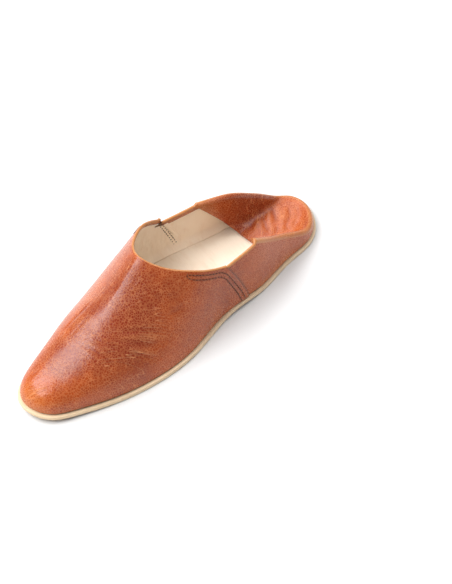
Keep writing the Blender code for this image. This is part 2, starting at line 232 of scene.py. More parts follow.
def closed_spline(knots, values, period):
    """The smooth closed curve through values at knots, as a function of arrays."""
    count = len(knots)
    gaps = np.diff(np.append(knots, knots[0] + period))
    before = np.roll(gaps, 1)
    slopes = np.diff(np.append(values, values[0])) / gaps
    system = np.diag(2.0 * (before + gaps)) + np.roll(np.diag(gaps), 1, axis=1)
    system = system + np.roll(np.diag(before), -1, axis=1)
    bends = np.linalg.solve(system, 6.0 * (slopes - np.roll(slopes, 1)))

    def curve(at):
        at = (np.asarray(at, dtype=float) - knots[0]) % period + knots[0]
        here = np.clip(np.searchsorted(knots, at, side="right") - 1, 0, count - 1)
        after = (here + 1) % count
        gap = gaps[here]
        right = (at - knots[here]) / gap
        left = 1.0 - right
        bow = (left ** 3 - left) * bends[here] + (right ** 3 - right) * bends[after]
        return left * values[here] + right * values[after] + bow * gap * gap / 6.0

    return curve


def table_curve(places, values):
    """A smooth open curve through a table's values, level beyond its ends."""
    tangents = np.gradient(values, places)

    def curve(at):
        at = np.clip(np.asarray(at, dtype=float), places[0], places[-1])
        here = np.clip(np.searchsorted(places, at, side="right") - 1, 0, len(places) - 2)
        gap = places[here + 1] - places[here]
        share = (at - places[here]) / gap
        start = blend(values[here], values[here + 1], share * share * (3.0 - 2.0 * share))
        rise = share * (1.0 - share) ** 2 * tangents[here]
        fall = share * share * (share - 1.0) * tangents[here + 1]
        return start + gap * (rise + fall)

    return curve


def station_angle(station):
    return np.arccos(1.0 - 2.0 * np.asarray(station, dtype=float))


STATIONS, BALL_SHARES, INNER_REACH, OUTER_REACH, CROWNS, FULLNESS = np.array(SECTIONS).T
WIDTHS = blend(HEEL_WIDTH, BALL_WIDTH, BALL_SHARES)
ANGLES = station_angle(STATIONS)
uncentred_reach = closed_spline(
    np.concatenate([ANGLES, 2.0 * math.pi - ANGLES[-2:0:-1]]),
    np.concatenate([OUTER_REACH * WIDTHS, -(INNER_REACH * WIDTHS)[-2:0:-1]]),
    2.0 * math.pi,
)
REACHES = uncentred_reach(np.linspace(0.0, 2.0 * math.pi, 721))
OUTLINE_MIDDLE = 0.5 * (REACHES.min() + REACHES.max())
crown_height = table_curve(np.sqrt(STATIONS), CROWNS * INSTEP_HEIGHT)
section_fullness = table_curve(STATIONS, FULLNESS)
fold_share = table_curve(*np.array(FOLD_HEIGHTS).T)


def outline_reach(angle):
    return uncentred_reach(angle) - OUTLINE_MIDDLE


def outline_point(angle, inset=0.0):
    """Points of the sole's outline in plan, moved inwards square to it by an inset."""
    small = 1e-4
    x = outline_reach(angle)
    y = -0.5 * SHOE_LENGTH * np.cos(angle)
    along_x = (outline_reach(angle + small) - outline_reach(angle - small)) / (2.0 * small)
    along_y = 0.5 * SHOE_LENGTH * np.sin(angle)
    length = np.hypot(along_x, along_y)
    return np.stack([x - inset * along_y / length, y + inset * along_x / length], axis=-1)


def inward(angle):
    """The direction from the outline into the shoe, in plan."""
    return (outline_point(angle, 0.001) - outline_point(angle)) / 0.001


def feather_margin(angle):
    """How far the upper stands inside the sole's edge."""
    station = 0.5 - 0.5 * np.cos(angle)
    front = blend(TOE_MARGIN, WAIST_MARGIN, ease(station / 0.5))
    back = blend(WAIST_MARGIN, HEEL_MARGIN, ease((station - 0.5) / 0.35))
    return np.where(station < 0.5, front, back)


def ground_lift(y):
    """How far the sole's underside stands off the ground: toe spring and arch."""
    station = y / SHOE_LENGTH + 0.5
    toe = TOE_SPRING * (1.0 - np.clip(station, 0.0, 0.26) / 0.26) ** 2
    arch = ARCH_LIFT * np.sin(math.pi * np.clip((station - 0.50) / 0.22, 0.0, 1.0)) ** 2
    return np.where(station < 0.26, toe, arch)


def sole_top(y):
    return SOLE_THICKNESS + ground_lift(y)


def insole_top(y):
    return sole_top(y) + SEAT_GAP + INSOLE_THICKNESS


def upper_foot(y):
    """Height of the feather line, where the wall starts."""
    return sole_top(y) + SEAT_GAP + FEATHER_RISE


FEATHER_ANGLES = np.linspace(0.0, math.pi, 721)
OUTER_FEATHER = outline_point(FEATHER_ANGLES, feather_margin(FEATHER_ANGLES))
INNER_FEATHER = outline_point(-FEATHER_ANGLES, feather_margin(-FEATHER_ANGLES))
FEATHER_TOE, FEATHER_HEEL = OUTER_FEATHER[0, 1], OUTER_FEATHER[-1, 1]


def feather_reach(y):
    """The inner and outer feather lines' distances from the middle, at a place along the shoe."""
    return [np.interp(y, line[:, 1], line[:, 0]) for line in (INNER_FEATHER, OUTER_FEATHER)]


def dome_height(plan):
    """Height of the last's arch at places in plan."""
    x, y = plan[..., 0], plan[..., 1]
    inner, outer = feather_reach(y)
    station = np.clip((y - FEATHER_TOE) / (FEATHER_HEEL - FEATHER_TOE), 0.0, 1.0)
    half = np.maximum(0.5 * (outer - inner), 1e-6)
    across = np.minimum(np.abs(x - 0.5 * (outer + inner)) / half, 1.0)
    power = section_fullness(station)
    arch = crown_height(np.sqrt(station)) * (1.0 - across ** power) ** (1.0 / power)
    return upper_foot(y) + arch


def throat_point(share):
    """Points of the throat in plan, from its outer corner (0) past its front to its inner (1)."""
    corner_angle = station_angle(THROAT_CORNER)
    inset = feather_margin(corner_angle) + THROAT_INSET
    outer = outline_point(corner_angle, inset)
    inner = outline_point(-corner_angle, inset)
    turn = math.pi * np.asarray(share, dtype=float)
    cosine = np.cos(turn)
    sideways = np.sign(cosine) * np.abs(cosine) ** (2.0 / THROAT_SQUARENESS)
    forwards = np.abs(np.sin(turn)) ** (2.0 / THROAT_SQUARENESS)
    middle = 0.5 * (outer + inner)
    front_y = (THROAT_FRONT - 0.5) * SHOE_LENGTH
    x = blend(middle[0], 0.5 * sum(feather_reach(front_y)), forwards)
    x = x + 0.5 * (outer[0] - inner[0]) * sideways
    return np.stack([x, blend(middle[1], front_y, forwards)], axis=-1)


def wall_point(foot_angle, top_angle, share, height, inset, proud=0.0):
    """Points of a side wall, a share of the way up from the feather to the top line."""
    angle = blend(foot_angle, top_angle, share ** 1.2)
    plan = outline_point(angle, feather_margin(angle) + inset * share ** WALL_LEAN_POWER - proud)
    return raised(plan, blend(upper_foot(plan[..., 1]), height, share))


# Sheets of leather

def along_curves(curves):
    """How far along its curve each point of several curves lies."""
    gaps = np.linalg.norm(np.diff(curves, axis=1), axis=2)
    return np.concatenate([np.zeros((len(curves), 1)), np.cumsum(gaps, axis=1)], axis=1)


def curve_lengths(curves):
    return along_curves(curves)[:, -1]


def resample(curves, lengths, values=None):
    """Points at given lengths along each of several curves, or values that go with them."""
    values = curves if values is None else values
    return np.stack([
        np.array([np.interp(*row) for row in zip(lengths, along_curves(curves), values[..., axis])])
        for axis in range(3)
    ], axis=-1)


def unit(vectors):
    return vectors / np.maximum(np.linalg.norm(vectors, axis=-1, keepdims=True), 1e-12)


def sheet_normals(grid):
    """Outward normals of a woven sheet whose columns run outer side, heel or toe, inner side."""
    return unit(np.cross(np.gradient(grid, axis=0), np.gradient(grid, axis=1)))


def soften(grid, rounds):
    """A grid of numbers or vectors evened out from column to column, the end ones kept."""
    for _ in range(rounds):
        smooth = grid.copy()
        smooth[1:-1] = 0.25 * grid[:-2] + 0.5 * grid[1:-1] + 0.25 * grid[2:]
        grid = smooth
    return grid


def vamp_dome(shares, rows, proud_step):
    """Columns up the vamp. shares run from -1, the inner seam, past the toe to 1, the outer one."""
    sides = np.where(shares < 0.0, -1.0, 1.0)[:, None]
    share = np.abs(shares)[:, None]
    part = steps(rows)
    angle = sides * station_angle(SEAM_FOOT) * share
    start = outline_point(angle, feather_margin(angle))
    plan = blend(start, throat_point(0.5 * (1.0 - sides * share)), part[..., None] ** 2.1)
    height = dome_height(plan)
    height[:, 0] = upper_foot(plan[:, 0, 1])
    proud = proud_step * ease((share - 1.0 + SEAM_FADE) / SEAM_FADE)
    domed = raised(plan - inward(angle) * proud[..., None], height + 0.7 * proud * part ** 3)
    corner_height = dome_height(throat_point(np.where(sides > 0.0, 0.0, 1.0)))
    corner_angle = sides * station_angle(THROAT_CORNER)
    walled = wall_point(angle, corner_angle, part, corner_height, THROAT_INSET, proud)
    return blend(domed, walled, ease((share - 0.72) / 0.28)[..., None])


def quarter_wall(shares, side, rows):
    """Columns up the quarter's side, from the seam (0) to the fold's corner (1)."""
    share = shares[:, None]
    corner = OUTER_FOLD_CORNER if side > 0 else INNER_FOLD_CORNER
    foot = side * station_angle(blend(SEAM_FOOT, FOLD_CORNER_FOOT, share))
    top = side * station_angle(blend(THROAT_CORNER, corner, share))
    start = dome_height(throat_point(0.0)) - SEAM_NOTCH
    height = blend(start, QUARTER_HEIGHT - FOLD_RADIUS, share)
    return wall_point(foot, top, steps(rows), height, blend(THROAT_INSET, FOLD_INSET, share))


class FoldLines:
    """Places on the fold: the wall below, the crest, and where each flap column would land."""

    def __init__(self):
        shares = np.linspace(0.0, 1.0, FOLD_COLUMNS + 1)
        rise = fold_share(shares)
        foot_corner = station_angle(FOLD_CORNER_FOOT)
        inner_corner = 2.0 * math.pi - station_angle(INNER_FOLD_CORNER)
        self.foot = blend(foot_corner, 2.0 * math.pi - foot_corner, shares)
        self.top = blend(station_angle(OUTER_FOLD_CORNER), inner_corner, shares)
        self.drop = rise * (QUARTER_HEIGHT - FLAP_TOP)
        self.height = FLAP_TOP + self.drop
        self.lean = FOLD_INSET * rise
        self.radius = blend(HEEL_ROLL_RADIUS, FOLD_RADIUS, np.sqrt(rise))
        self.fillet = blend(FLAP_FILLET, FLAP_CORNER_FILLET, np.sqrt(rise))
        self.shoulder = outline_point(self.top, feather_margin(self.top) + self.lean)
        self.direction = inward(self.top)
        self.crest = self.shoulder + self.direction * self.radius[:, None]
        bend = self.radius + self.fillet
        self.slope = np.minimum(FLAP_STEEPNESS, np.arccos(np.maximum(1.0 - self.drop / bend, -1.0)))
        level = bend * (1.0 - np.cos(self.slope))
        self.straight = np.maximum(self.drop - level, 0.0) / np.sin(self.slope)
        self.length = bend * self.slope + self.straight
        self.landing = self.crest + self.direction * self.profile(self.length[:, None])[0]
        self.settled = soften(self.landing, 400)

    def profile(self, reach):
        """Distance inwards and height below the crest, lengths of leather from the crest."""
        radius, fillet = self.radius[:, None], self.fillet[:, None]
        slope, straight = self.slope[:, None], self.straight[:, None]
        over = np.clip(reach / radius, 0.0, slope)
        slide = np.clip(reach - radius * slope, 0.0, straight)
        under = np.clip((reach - radius * slope - straight) / fillet, 0.0, slope)
        inwards = radius * np.sin(over) + slide * np.cos(slope)
        inwards = inwards + fillet * (np.sin(slope) - np.sin(slope - under))
        down = radius * (1.0 - np.cos(over)) + slide * np.sin(slope)
        down = down + fillet * (np.cos(slope - under) - np.cos(slope))
        return inwards, down

    def wall(self, rows):
        height = (self.height - self.radius)[:, None]
        return wall_point(
            self.foot[:, None], self.top[:, None], steps(rows), height, self.lean[:, None]
        )

    def roll(self, rows):
        """Points over the fold, from the wall's top to the crest."""
        turn = 0.5 * math.pi * steps(rows)
        aside = self.radius[:, None] * (1.0 - np.cos(turn))
        plan = self.shoulder[:, None] + self.direction[:, None] * aside[..., None]
        height = (self.height - self.radius)[:, None] + self.radius[:, None] * np.sin(turn)
        return raised(plan, height)

    def flap(self, rows):
        """Points down the flap to its free edge, which lies straight across the insole."""
        edge_y = 0.5 * SHOE_LENGTH - FLAP_EDGE_FROM_HEEL
        landed = np.flatnonzero(self.settled[:, 1] > edge_y)
        first, last = landed[0], landed[-1]
        edge = self.settled.copy()
        edge[landed, 0] = blend(edge[first, 0], edge[last, 0], (landed - first) / (last - first))
        edge[landed, 1] = edge_y
        reach = self.length.copy()
        tries = steps(80) * self.length[:, None]
        downs = self.profile(tries)[1]
        hanging = ((0, first, range(first)), (-1, last, range(last + 1, len(reach))))
        for corner, end, columns in hanging:
            span = self.crest[end, 1] - self.crest[corner, 1]
            for n in columns:
                share = (self.crest[n, 1] - self.crest[corner, 1]) / span
                wanted = blend(self.height[corner] - FLAP_CORNER_DROP, FLAP_TOP, share)
                reach[n] = np.interp(self.height[n] - wanted, downs[n], tries[n])
        flat = edge - self.settled
        flat[reach < self.length - 1e-9] = 0.0
        steep = (reach / (reach + np.linalg.norm(flat, axis=1)))[:, None]
        fine = steps(240)
        run = reach[:, None] * np.minimum(fine / steep, 1.0)
        inwards, down = self.profile(run)
        plan = self.crest[:, None] + self.direction[:, None] * inwards[..., None]
        shift = self.settled - self.landing
        plan = plan + shift[:, None] * ease(run / self.length[:, None])[..., None]
        beyond = np.clip((fine - steep) / np.maximum(1.0 - steep, 1e-9), 0.0, 1.0)
        plan = plan + flat[:, None] * beyond[..., None]
        curves = raised(plan, self.height[:, None] - down)
        part = steps(rows)
        grid = resample(curves, curve_lengths(curves)[:, None] * part)
        number = np.arange(len(grid))
        turning = sum(np.exp(-((number - end) / 6.0) ** 2) for end in (first, last))
        weight = np.minimum(turning, 1.0)[:, None] * part ** 2
        return blend(grid, soften(grid, 60), weight[..., None])


def trough_field(table, points):
    """How deep the troughs of a table are at points, in metres."""
    x, y, _ = in_mm(points)
    depth = np.zeros_like(x)
    for x_start, y_start, x_end, y_end, width, deep, bow in table:
        length = math.hypot(x_end - x_start, y_end - y_start)
        along_x, along_y = (x_end - x_start) / length, (y_end - y_start) / length
        from_x, from_y = x - x_start, y - y_start
        share = (from_x * along_x + from_y * along_y) / length
        aside = from_y * along_x - from_x * along_y - bow * 4.0 * share * (1.0 - share)
        near = np.exp(-(aside / (0.5 * width)) ** 2)
        lips = 0.45 * np.exp(-((np.abs(aside) - 0.9 * width) / (0.5 * width)) ** 2)
        depth += deep * (near - lips) * ease(share / 0.3) * ease((1.0 - share) / 0.3)
    return depth * 1e-3


# Meshes

def linked(name, data):
    """A new object in the scene, at the origin."""
    made = bpy.data.objects.new(name, data)
    bpy.context.scene.collection.objects.link(made)
    return made


def mesh_object(name, points, faces, material, marks):
    """A piece from points and faces, with named marks on its points."""
    data = bpy.data.meshes.new(name)
    data.from_pydata([tuple(p) for p in points], [], [tuple(f) for f in faces])
    data.materials.append(material)
    for mark, values in marks.items():
        layer = data.attributes.new(mark, "FLOAT", "POINT")
        layer.data.foreach_set("value", np.asarray(values, dtype=np.float32))
    data.shade_smooth()
    data.validate()
    return linked(name, data)


def slab(name, outer, inner, material, marks):
    """A sheet of leather between two grids of points, its edges closed.

    marks are numbers or grids over the outer points, and the inner points take the same values.
    """
    points = np.concatenate([outer.reshape(-1, 3), inner.reshape(-1, 3)])
    number = np.arange(outer[..., 0].size).reshape(outer.shape[:2])
    left, right = number[:-1], number[1:]
    front = np.stack([left[:, :-1], right[:, :-1], right[:, 1:], left[:, 1:]], axis=-1)
    front = front.reshape(-1, 4)
    faces = [front, front[:, ::-1] + number.size]
    for line, order in ((number[:, 0], 1), (number[:, -1], -1), (number[0], -1), (number[-1], 1)):
        near, far = line[:-1], line[1:]
        strip = np.stack([near, near + number.size, far + number.size, far], axis=-1)
        faces.append(strip[:, ::order])
    faces = np.concatenate(faces)
    first, second, third, fourth = (points[faces[:, n]] for n in range(4))
    space = np.sum(np.cross(first, second) * third) + np.sum(np.cross(first, third) * fourth)
    if space < 0.0:
        faces = faces[:, ::-1]
    marks = {
        mark: np.tile(np.broadcast_to(grid, number.shape).ravel(), 2)
        for mark, grid in marks.items()
    }
    return mesh_object(name, points, faces, material, marks)


# Node trees

def feed(tree, socket, value):
    """Links a socket, or sets it to a value or to one of the user's colours by its name."""
    value = value.socket if isinstance(value, Flow) else value
    if isinstance(value, bpy.types.NodeSocket):
        tree.links.new(value, socket)
    elif isinstance(value, str):
        socket.default_value = (*getattr(colours(), value), 1.0)
    else:
        socket.default_value = (*value, 1.0) if socket.type == "RGBA" else value


def add_node(tree, kind, settings=None, sockets=None):
    """Any node: its kind, its settings, then its sockets' values or links. Gives its outputs."""
    node = tree.nodes.new(kind)
    for setting, value in (settings or {}).items():
        setattr(node, setting, value)
    for socket, value in (sockets or {}).items():
        feed(tree, node.inputs[socket], value)
    return node.outputs


def both_ways(operation):
    """An operator of a flow with anything, and of anything with a flow."""
    return (
        lambda flow, other: flow.maths(operation, flow, other),
        lambda flow, other: flow.maths(operation, other, flow),
    )


class Flow:
    """A number on its way through a material's nodes, for use in plain sums."""

    def __init__(self, finish, socket):
        self.finish = finish
        self.socket = socket

    def maths(self, operation, *values, clamp=False):
        settings = {"operation": operation, "use_clamp": clamp}
        return self.finish.node("ShaderNodeMath", settings, dict(enumerate(values)))

    __add__, __radd__ = both_ways("ADD")
    __sub__, __rsub__ = both_ways("SUBTRACT")
    __mul__, __rmul__ = both_ways("MULTIPLY")

    def held(self):
        """The number kept between 0 and 1."""
        return self.maths("MULTIPLY", self, 1.0, clamp=True)

    def step(self, low, high):
        """0 below low, 1 above high, smooth between; reversed where low is above high."""
        if low > high:
            return 1.0 - self.step(high, low)
        settings = {"interpolation_type": "SMOOTHSTEP"}
        sockets = {"Value": self, "From Min": low, "From Max": high}
        return self.finish.node("ShaderNodeMapRange", settings, sockets)


class Finish:
    """A material under construction."""

    def __init__(self, name):
        self.material = bpy.data.materials.new(name)
        self.material.use_nodes = True
        self.tree = self.material.node_tree
        self.place = self.node("ShaderNodeTexCoord", out="Object")

    def node(self, kind, settings=None, sockets=None, out=0):
        return Flow(self, add_node(self.tree, kind, settings, sockets)[out])

    def mark(self, name):
        """A number marked on the piece's points."""
        return self.node("ShaderNodeAttribute", {"attribute_name": name}, out="Fac")

    def noise(self, scale, detail=2.0, place=None, roughness=0.5, out="Fac"):
        sockets = {
            "Vector": place or self.place, "Scale": scale, "Detail": detail, "Roughness": roughness,
        }
        return self.node("ShaderNodeTexNoise", {}, sockets, out)

    def turned(self, angle, scale):
        """The place turned about +Z and then stretched, for grain that runs one way."""
        place = self.place
        for sockets in ({"Rotation": (0.0, 0.0, angle)}, {"Scale": scale}):
            sockets["Vector"] = place
            place = self.node("ShaderNodeMapping", {"vector_type": "POINT"}, sockets)
        return place

    def wavered(self, scale, amount):
        """The place pushed about by a noise, so that cells lose their straight sides."""
        push = self.noise(scale, out="Color")
        for operation, sockets in (
            ("SUBTRACT", {1: (0.5, 0.5, 0.5)}),
            ("SCALE", {"Scale": amount}),
            ("ADD", {1: self.place}),
        ):
            sockets[0] = push
            push = self.node("ShaderNodeVectorMath", {"operation": operation}, sockets)
        return push

    def cells(self, scale, place=None, feature="DISTANCE_TO_EDGE", out="Distance"):
        sockets = {"Vector": place or self.place, "Scale": scale, "Randomness": 1.0}
        return self.node("ShaderNodeTexVoronoi", {"feature": feature}, sockets, out)

    def wrinkles(self, heading, fineness):
        """Fine broken lines that run one way, as leather wrinkles; heading in degrees from +X."""
        run = 34.0
        place = self.turned(-math.radians(heading), (run, fineness, run))
        level = self.noise(1.0, 0.0, place) - 0.5
        line = level.maths("ABSOLUTE", level).step(0.03, 0.0)
        return line * self.noise(75.0, 1.0).step(0.40, 0.50)

    def tint(self, first, second, share):
        """One colour going over into another."""
        settings = {"data_type": "RGBA", "clamp_factor": True}
        return self.node("ShaderNodeMix", settings, {"Factor": share, 6: first, 7: second}, 2)

    def relief(self, heights):
        """Bump nodes in a row, each with its height in metres at full strength."""
        normal = {}
        for height, depth in heights:
            sockets = {"Strength": 1.0, "Distance": depth, "Height": height, **normal}
            normal = {"Normal": self.node("ShaderNodeBump", {}, sockets)}
        return normal["Normal"]

    def made(self, sockets):
        """The material, once its shader's own sockets are set."""
        for name, value in sockets.items():
            feed(self.tree, self.tree.nodes["Principled BSDF"].inputs[name], value)
        return self.material


def cognac_leather():
    """Waxed calf: a pebbled grain, a paler crackle over it, darker where it was handled, with
    painted light and shade over it: the tone mark, painted shade in the troughs and from the shade
    mark, and a painted highlight on the rims.
    """
    finish = Finish("cognac_leather")
    patina = finish.noise(26.0, 4.0, roughness=0.6)
    blotch = finish.noise(120.0, 3.0)
    # The tone mark brings painted light and shade into how light the leather is; the noises are its
    # own patina
    depth = (patina * 0.8 + blotch * 0.3 + finish.mark("tone") * 0.7 - 0.16).held()
    crazed = finish.wavered(420.0, 0.0016)
    cracks = finish.cells(620.0, crazed).step(0.20, 0.0)
    patch = finish.noise(90.0, 3.0).step(0.3, 0.7)
    crackle = (cracks * (0.55 + 0.3 * patch)).held()
    cell = finish.cells(620.0, crazed, "F1", "Color")
    wrinkles = (
        finish.wrinkles(57.0, 520.0) * finish.mark("worn") * 1.4
        + finish.wrinkles(92.0, 460.0) * finish.mark("pulled")
        + finish.wrinkles(128.0, 380.0) * finish.mark("trodden") * 0.55
    ).held()
    trough = finish.mark("trough")
    colour = "oxblood"
    for over, share in (
        ("cognac", depth.step(0.05, 0.6)),
        ("amber", depth.step(0.5, 1.05)),
        ("oxblood", (1.0 - cracks) * cell.step(0.35, 0.9) * 0.28),
        ("crackle", crackle * 0.42),
        ("crackle", wrinkles * 0.7),
        # Painted shade in the creases' troughs
        ("oxblood", trough.step(0.05, 0.9) * 0.6),
        ("crackle", (0.0 - trough).step(0.04, 0.3) * 0.12),
        # Painted highlight along the rolled top line and the fold's crest
        ("rim", finish.mark("rim") * 0.75),
        # Painted shade from the shade mark, in the awl holes' dark colour
        ("hole", finish.mark("shade") * 0.75),
    ):
        colour = finish.tint(colour, over, share)
    grain = finish.cells(1000.0, finish.wavered(500.0, 0.001), "F1")
    return finish.made({
        "Base Color": colour,
        "Roughness": (0.17 + patina * 0.08 + crackle * 0.10 + wrinkles * 0.08).held(),
        "Specular IOR Level": 0.40,
        "Coat Weight": 0.08,
        "Coat Roughness": 0.16,
        "Normal": finish.relief(
            [(wrinkles, 0.00022), (crackle, 0.00005), (grain, 0.00007), (blotch, 0.00035)]
        ),
    })


def lining_leather(name, along):
    """Thin undyed goatskin, matt, with faint pulls along the wall, and darker towards the toe with
    painted shade.
    """
    finish = Finish(name)
    cloud = finish.noise(45.0, 3.0)
    streaks = finish.noise(1.0, 4.0, finish.turned(along, (60.0, 300.0, 120.0)), 0.6)
    colour = finish.tint("lining", "lining_shade", cloud.step(0.35, 0.75) * 0.55)
    colour = finish.tint(colour, "lining_shade", streaks.step(0.5, 0.72) * 0.6)
    return finish.made({
        # Painted shade deep towards the toe, plus the insole's even darker tint
        "Base Color": finish.tint(colour, "dirt_and_shade", finish.mark("grime")),
        "Roughness": 0.66 + cloud * 0.16,
        "Normal": finish.relief(
            [(streaks, 0.0004), (cloud, 0.0006), (finish.noise(1500.0), 0.00006)]
        ),
    })


def sole_leather():
    """Undyed sole leather: a pale cut edge, a mottled tan underside with raised veins."""
    finish = Finish("sole_leather")
    under = finish.mark("under")
    cloud = finish.noise(34.0, 4.0, roughness=0.65)
    below = finish.tint("sole_dark", "sole", cloud.step(0.3, 0.7))
    veins = finish.cells(70.0, finish.wavered(60.0, 0.012)).step(0.08, 0.0)
    below = finish.tint(below, "sole_pale", veins * 0.5)
    specks = finish.cells(260.0, None, "F1").step(0.16, 0.08)
    below = finish.tint(below, "dirt_and_shade", specks * 0.5)
    layers = finish.noise(1.0, 3.0, finish.turned(0.0, (130.0, 130.0, 1500.0)))
    edge = finish.tint("sole_pale", "sole", layers.step(0.35, 0.75) * 0.5)
    edge = finish.tint(edge, "sole_dark", finish.noise(160.0).step(0.58, 0.85) * 0.25)
    return finish.made({
        "Base Color": finish.tint(edge, below, under),
        "Roughness": 0.62 + cloud * 0.2,
        "Normal": finish.relief(
            [(veins * under, 0.0005), (layers, 0.00005), (finish.noise(900.0, 3.0), 0.00008)]
        ),
    })


def thread_finish():
    """Waxed linen thread, dulled to the leather's brown."""
    finish = Finish("waxed_thread")
    twist = finish.noise(2200.0)
    return finish.made({
        "Base Color": finish.tint("thread", "hole", twist.step(0.35, 0.75)),
        "Roughness": 0.6,
        "Normal": finish.relief([(twist, 0.0001)]),
    })


def hole_finish():
    """The shade inside an awl hole."""
    finish = Finish("awl_hole")
    colour = finish.tint("hole", "oxblood", finish.noise(800.0).step(0.5, 0.9))
    return finish.made({"Base Color": colour, "Roughness": 0.9})


def floor_finish():
    finish = Finish("floor_paper")
    colour = finish.tint((0.73, 0.73, 0.735), (0.76, 0.76, 0.755), finish.noise(1.5, 1.0))
    return finish.made({"Base Color": colour, "Roughness": 0.8, "Specular IOR Level": 0.1})


# Sizes and colours a user would change

def length_property(name, description, default, least, most):
    return FloatProperty(
        name=name, description=description, default=default, min=least, max=most,
        unit="LENGTH", precision=4,
    )


def colour_property(name, description, default):
    return FloatVectorProperty(
        name=name, description=description, default=default, subtype="COLOR", size=3,
        min=0.0, max=1.0,
    )


class BABOUCHE_PG_sizes(bpy.types.PropertyGroup):
    leather: length_property(
        "Upper leather", "Thickness of the upper's leather", 0.0009, 0.0005, 0.0014
    )
    lining: length_property("Lining", "Thickness of the lining leather", 0.0006, 0.0003, 0.0012)
    turned_in: length_property(
        "Turned-in band", "How far the top line is turned in and pasted down", 0.0045, 0.002, 0.008
    )
    crease: FloatProperty(
        name="Creases", description="How strongly the wearing creases show",
        default=1.0, min=0.0, max=2.0, subtype="FACTOR",
    )
    stitch_pitch: length_property(
        "Stitch pitch", "Distance from one awl hole to the next", 0.0026, 0.0015, 0.006
    )
    thread: length_property("Thread", "Thickness of the thread", 0.0006, 0.0003, 0.0012)
    seed: IntProperty(
        name="Stitch seed", description="Seed for the stitches' unevenness", default=7,
    )


class BABOUCHE_PG_colours(bpy.types.PropertyGroup):
    cognac: colour_property("Cognac", "Middle tone of the upper", (0.41, 0.066, 0.007))
    # Also the painted shade in the creases' troughs
    oxblood: colour_property("Oxblood", "Handled, darker tone", (0.21, 0.020, 0.003))
    amber: colour_property("Amber", "Thin or stretched, lighter tone", (0.58, 0.15, 0.020))
    crackle: colour_property("Crackle", "Lines of the broken finish", (0.74, 0.29, 0.11))
    # The painted highlight along the turned top line and the fold's crest
    rim: colour_property("Rim", "Edge of the turned top line", (0.60, 0.27, 0.09))
    lining: colour_property("Lining", "Undyed lining", (0.97, 0.85, 0.70))
    lining_shade: colour_property("Lining shade", "Darker tone of the lining", (0.87, 0.71, 0.55))
    sole: colour_property("Sole", "Undyed sole leather", (0.66, 0.46, 0.28))
    sole_pale: colour_property("Sole edge", "Freshly cut sole edge", (0.84, 0.64, 0.42))
    sole_dark: colour_property("Sole wear", "Darker mottling below", (0.30, 0.16, 0.08))
    # Dirt specks on the sole below, and the painted shade deep in the toe
    dirt_and_shade: colour_property("Dirt", "Grime", (0.10, 0.06, 0.035))
    thread: colour_property("Thread", "Waxed thread", (0.22, 0.085, 0.035))
    # Also the painted shade of the shade mark: along the upper's foot, at the seams and beside the
    # stitches
    hole: colour_property("Hole", "Shade in the awl holes", (0.012, 0.005, 0.003))


def sizes():
    return bpy.context.scene.babouche_sizes


def colours():
    return bpy.context.scene.babouche_colours


def finished(piece, slot, *nodes):
    """Hangs a finished piece on the shoe's one body, for the nodes it stands for."""
    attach(piece, "root")
    if nodes:
        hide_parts(*nodes)


# Vamp and quarter

def spots(points, *table):
    """Soft spots added up at points: how strong each is, where in plan, and its reach, in mm."""
    x, y, _ = in_mm(points)
    return sum(
        strength * np.exp(-(((x - at_x) / wide) ** 2 + ((y - at_y) / deep) ** 2))
        for strength, at_x, at_y, wide, deep in table
    )


def vamp_painted_light_and_shade(points):
    """How light the vamp is, as painted light and shade: painted shade across the middle, painted
    light at the toe and on the inner slope, and a painted floor reflection along the sides above
    the sole.
    """
    _, y, z = in_mm(points)
    # Painted shade across the middle
    dark = spots(points, (1.0, 12, -60, 20, 24), (0.5, 6, -98, 14, 16))
    # Painted light at the toe and on the inner slope, and a painted reflection of the floor in a
    # band above the sole
    light = 0.5 * np.exp(-((y + 128) / 9) ** 2) + 0.2 * np.exp(-((z - 6) / 8) ** 2)
    light = light + spots(points, (0.6, -20, -60, 14, 40))
    return 0.6 * light - 1.1 * dark


def quarter_painted_light_and_shade(points):
    """How light the quarter is, as painted light and shade: orange sides, painted shade on the dark
    steep flap, a painted sheen on the lighter flat one, and a painted floor reflection in a ring
    low on the walls.
    """
    x, y, z = in_mm(points)
    # Painted shade on the steep far part of the flap
    dark = spots(points, (1.0, -12, 80, 7, 30))
    # Painted reflection of the floor in a ring low on the walls
    ring = np.exp(-((z - 6) / 5) ** 2) * ease((np.hypot(x - 4, y - 96) - 24) / 6)
    # Painted sheen on the flat part of the flap
    flap = ease((24.0 - z) / 10) * ease((27.0 - np.hypot(x - 3, y - 98)) / 8)
    light = 0.15 * ease((x - 20) / 8) + 0.4 * ring
    return 0.8 * light - 0.55 * dark + 0.20 * flap


def rounded_foot(wall, directions):
    """Points under the wall's foot, where the leather turns in to the sole."""
    turn = 0.5 * math.pi * np.linspace(1.0, 0.0, FOOT_ROWS, endpoint=False)[None, :, None]
    inwards = raised(directions, np.zeros(len(directions)))[:, None]
    down = np.array([0.0, 0.0, -1.0])
    return wall[:, :1] + FOOT_RADIUS * (inwards * (1.0 - np.cos(turn)) + down * np.sin(turn))


def close_foot(inner, foot):
    """Brings a sheet's inner face to its outer one where the foot is turned in."""
    inner[:, :FOOT_ROWS] = blend(foot, inner[:, FOOT_ROWS:FOOT_ROWS + 1], FOOT_CLOSING)


def rolled_edge(wall, normals):
    """A wall's top edge rolled over inwards: its points, and the way out at each."""
    top, out = wall[:, -1], normals[:, -1]
    up = unit(top - wall[:, -2])
    out = unit(out - up * np.sum(out * up, axis=1, keepdims=True))
    turn = math.pi * steps(ROLL_ROWS + 1)[:, 1:, None]
    ways = out[:, None] * np.cos(turn) + up[:, None] * np.sin(turn)
    return (top - out * TURN_RADIUS)[:, None] + TURN_RADIUS * ways, ways


def pasted_band(wall, normals, widths, rows):
    """The band pasted down behind a wall's top: its points, and the wall's way out at each."""
    at = curve_lengths(wall)[:, None] - widths[:, None] * steps(rows + 1)[:, 1:]
    ways = unit(resample(wall, at, normals))
    return resample(wall, at) - ways * 2.0 * TURN_RADIUS, ways


